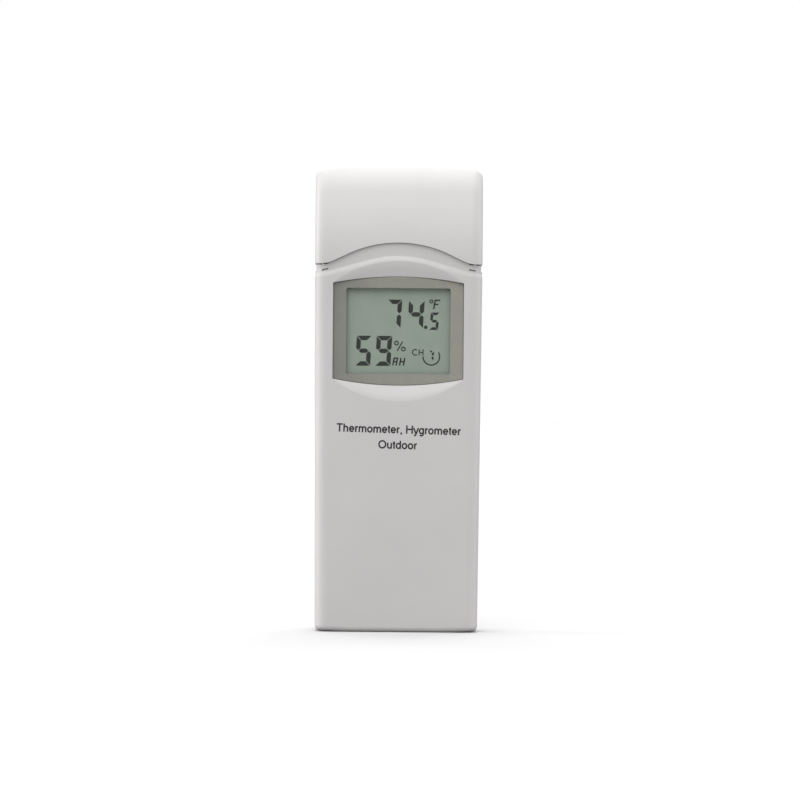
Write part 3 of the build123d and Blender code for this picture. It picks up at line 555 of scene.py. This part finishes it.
def units():
    """Degree and percent signs and the letters beside the readings."""
    pen = display_pen()
    pen.stroke(oval(8.5, 7.75, 0.38, 0.38), 0.30)
    for path in ([(0, 0), (0, 2.3), (1.3, 2.3)], [(0.1, 1.25), (1.0, 1.25)]):
        pen.stroke(leaning(9.1, 5.75, LETTER_SLANT, path), 0.40)
    pen.stroke(oval(-0.42, -3.1, 0.47, 0.47), SIGN_LINE)
    pen.stroke(oval(1.36, -4.62, 0.47, 0.47), SIGN_LINE)
    pen.stroke([(1.15, -2.65), (-0.25, -5.15)], SIGN_LINE)
    for path in ([(0, 0), (0, 1.9), (0.87, 1.9), (0.87, 1.0), (0.1, 1.0)], [(0.87, 0.85), (0.87, 0)]):
        pen.stroke(leaning(-1.35, -8.9, LETTER_SLANT, path), LETTER_LINE)
    for path in ([(0, 0), (0, 2)], [(0.1, 1.0), (0.95, 1.0)], [(1.0, 0), (1.0, 2)]):
        pen.stroke(leaning(0.4, -8.9, LETTER_SLANT, path), LETTER_LINE)
    piece("display_units", pen.bm, INK_ON)


def channel_mark():
    """The small channel letters, their open ring and the channel's number."""
    pen = display_pen()
    pen.stroke(oval(4.4, -5.45, 0.68, 0.72, 48, 312), MARK_LINE)
    for path in ([(0, 0), (0, 1.55)], [(0, 0.78), (1.0, 0.78)], [(1.0, 0), (1.0, 1.55)]):
        pen.stroke(leaning(5.4, -6.23, 3, path), MARK_LINE)
    pen.stroke(oval(8.6, -6.5, 2.15, 2.2, 180, 392, 48), 0.34)
    pen.digit("1", 7.75, -7.6, 1.4, 2.5, 0.58, 0.06, 4)
    pen.stroke([(8.3, -5.2), (8.8, -5.2)], 0.45)
    piece("display_channel", pen.bm, INK_ON)


def front_print():
    """The two printed lines below the display."""
    pen = Pen(0, FACE_Y, PRINT_Z, tilt=PRINT_TILT)
    pen.write("Thermometer, Hygrometer", 0.3, 0.0, PRINT_CAP, PRINT_WEIGHT, 0.93)
    pen.write("Outdoor", 0.15, -PRINT_STEP, PRINT_CAP, PRINT_WEIGHT, 0.95)
    piece("front_print", pen.bm, INK_PRINT)


PRINT_Z = 51.3 * MM  # baseline of the first printed line
PRINT_CAP, PRINT_STEP = 2.1, 4.0  # height of a capital and from line to line, in millimetres
PRINT_WEIGHT = 0.182  # width of a stroke, in heights of a capital
PRINT_TILT = -1.3  # degrees
big_readings()
units()
channel_mark()
front_print()


# ======================== marks behind the door =========================


def wrap(bm, axis, radius):
    """Bends flat marks that face backwards round an upright cell."""
    bmesh.ops.subdivide_edges(bm, edges=bm.edges[:], cuts=3, use_grid_fill=True)
    for vert in bm.verts:
        turn = (vert.co.x - axis.x) / radius
        reach = vert.co.y - axis.y
        vert.co.x = axis.x + reach * sin(turn)
        vert.co.y = axis.y + reach * cos(turn)


def cell_print(node, plus_up):
    """Plus and minus signs at a cell's ends, and the size letters along it."""
    low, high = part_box(node)
    middle, radius = (low + high) / 2, (high.x - low.x) / 2
    half = (high.z - low.z) / 2 / MM
    plus = half - PLUS_INSET if plus_up else PLUS_INSET - half
    minus = MINUS_INSET - half if plus_up else half - MINUS_INSET
    signs = Pen(middle.x, high.y, middle.z, to_front=False)
    signs.write("+", 0, plus - SIGN_RISE, SIGN_CAP, BOLD)
    signs.write("-", 0, minus - SIGN_RISE, SIGN_CAP, BOLD)
    letters = Pen(middle.x, high.y, middle.z, to_front=False, tilt=90)
    letters.write("AA", -SIZE_SHIFT if plus_up else SIZE_SHIFT, -SIZE_CAP / 2, SIZE_CAP, BOLD)
    for pen, kind in ((signs, "signs"), (letters, "size")):
        wrap(pen.bm, middle, radius)
        piece(f"{node}_{kind}", pen.bm, INK_WHITE)


def switch_print():
    """The slide switch's numbers, one beside each slider, and its on mark; it sits upside down."""
    low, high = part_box("dip_switch")
    middle = (low + high) / 2
    pen = Pen(middle.x, high.y, middle.z, to_front=False, tilt=180)
    for number in "1234":
        slider_low, slider_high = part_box("dip_slider_" + number)
        across = ((slider_low.x + slider_high.x) / 2 - middle.x) / MM
        pen.write(number, across, -3.2, SWITCH_CAP, MEDIUM)
    pen.write("ON", -4.3, 2.15, SWITCH_CAP, MEDIUM)
    piece("dip_switch_print", pen.bm, INK_WHITE)


def shelf_print():
    """Printed words on the shelf above the cells: the button's name and the cells' signs."""
    button_low, button_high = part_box("reset_plunger")
    button = (button_low + button_high) / 2
    shelf_y = button_high.y - BUTTON_RISE
    pen = Pen(button.x, shelf_y, button.z, to_front=False)
    pen.write("RESET", 0, -4.6, 1.4, MEDIUM)
    piece("reset_word", pen.bm, INK_GREY)
    for node, sign, outward in (("battery_left", "+", -1), ("battery_right", "-", 1)):
        low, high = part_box(node)
        across = (low.x + high.x) / 2 + outward * SIGN_OUTWARD
        pen = Pen(across, shelf_y, button.z, to_front=False)
        pen.write(sign, 0, -5.0, 2.0, BOLD)
        piece(node + "_shelf_sign", pen.bm, INK_GREY)


MEDIUM, BOLD = 0.15, 0.17  # widths of strokes, in heights of a capital
PLUS_INSET, MINUS_INSET = 8.4, 6.5  # from a cell's ends to its signs, in millimetres
SIGN_CAP, SIGN_RISE = 4.6, 1.93  # height of a cell's signs and of their middles, in millimetres
SIZE_CAP, SIZE_SHIFT = 4.2, 2  # height of the size letters and how far they lie from the middle
SWITCH_CAP = 1.1
SIGN_OUTWARD = 5.9 * MM  # from a cell's middle to its sign on the shelf
BUTTON_RISE = 0.8 * MM  # how far the reset button stands out of the shelf
cell_print("battery_left", True)
cell_print("battery_right", False)
switch_print()
shelf_print()


# ================================ stage ================================


def floor():
    """A large plain pale floor, which throws back less light than it shows."""
    bm = bmesh.new()
    bmesh.ops.create_circle(bm, cap_ends=True, radius=FLOOR_RADIUS, segments=96)
    mesh = bpy.data.meshes.new("floor")
    bm.to_mesh(mesh)
    bm.free()
    obj = bpy.data.objects.new("floor", mesh)
    bpy.context.scene.collection.objects.link(obj)
    mat = bpy.data.materials.new("floor_paper")
    mat.use_nodes = True
    tree = mat.node_tree
    tree.nodes.clear()
    out = tree.nodes.new("ShaderNodeOutputMaterial")
    seen = add(tree, "ShaderNodeBsdfDiffuse", Color=(*[FLOOR_SEEN] * 3, 1))
    thrown = add(tree, "ShaderNodeBsdfDiffuse", Color=(*[FLOOR_BOUNCE] * 3, 1))
    ray = tree.nodes.new("ShaderNodeLightPath")
    mix = tree.nodes.new("ShaderNodeMixShader")
    tree.links.new(ray.outputs["Is Camera Ray"], mix.inputs["Fac"])
    tree.links.new(thrown.outputs["BSDF"], mix.inputs[1])
    tree.links.new(seen.outputs["BSDF"], mix.inputs[2])
    tree.links.new(mix.outputs["Shader"], out.inputs["Surface"])
    mesh.materials.append(mat)
    obj.location.z = -0.02 * MM


def soft_sun(name, azimuth, elevation, strength, spread_angle):
    """An even light from far away; azimuth 0 is the front, 90 the right."""
    data = bpy.data.lights.new(name, "SUN")
    data.energy = strength
    data.angle = radians(spread_angle)
    obj = bpy.data.objects.new(name, data)
    bpy.context.scene.collection.objects.link(obj)
    a, e = radians(azimuth), radians(elevation)
    towards = Vector((sin(a) * cos(e), -cos(a) * cos(e), sin(e)))
    obj.rotation_euler = (-towards).to_track_quat("-Z", "Y").to_euler()
    obj.location = towards


def sky():
    """White seen by the camera, a softer grey as light."""
    world = bpy.data.worlds.new("studio")
    bpy.context.scene.world = world
    world.use_nodes = True
    tree = world.node_tree
    light = tree.nodes["Background"]
    light.inputs["Color"].default_value = (1, 1, 1, 1)
    light.inputs["Strength"].default_value = SKY
    seen = add(tree, "ShaderNodeBackground", Color=(1, 1, 1, 1), Strength=1.0)
    ray = tree.nodes.new("ShaderNodeLightPath")
    mix = tree.nodes.new("ShaderNodeMixShader")
    tree.links.new(ray.outputs["Is Camera Ray"], mix.inputs["Fac"])
    tree.links.new(light.outputs["Background"], mix.inputs[1])
    tree.links.new(seen.outputs["Background"], mix.inputs[2])
    tree.links.new(mix.outputs["Shader"], tree.nodes["World Output"].inputs["Surface"])


def camera():
    """Level, square to the front, from far away."""
    data = bpy.data.cameras.new("camera")
    data.lens = data.sensor_width / VIEW_WIDTH * VIEW_DISTANCE
    data.clip_end = 50
    obj = bpy.data.objects.new("camera", data)
    bpy.context.scene.collection.objects.link(obj)
    obj.location = (VIEW_X, FACE_Y - VIEW_DISTANCE, VIEW_Z)
    obj.rotation_euler = (radians(90), radians(VIEW_ROLL), 0)
    bpy.context.scene.camera = obj


FLOOR_SEEN, FLOOR_BOUNCE = 0.705, 0.29  # the floor's tone to the camera, and as it lights the object
FLOOR_RADIUS = 12
SKY = 0.42  # strength of the sky's light
VIEW_DISTANCE = 1.3
VIEW_WIDTH = 0.2064  # what the picture spans at the front of the object
VIEW_X, VIEW_Z = 0.0006, 0.0599
VIEW_ROLL = -0.48  # degrees
floor()
sky()
soft_sun("key", -10, 42, 1.08, 50)
soft_sun("top", 0, 90, 1.34, 50)
soft_sun("left", -100, 8, 1.75, 40)
soft_sun("right", 100, 8, 0.8, 40)
soft_sun("back", 180, 35, 1.5, 60)
camera()
bpy.context.scene.view_settings.view_transform = "Standard"
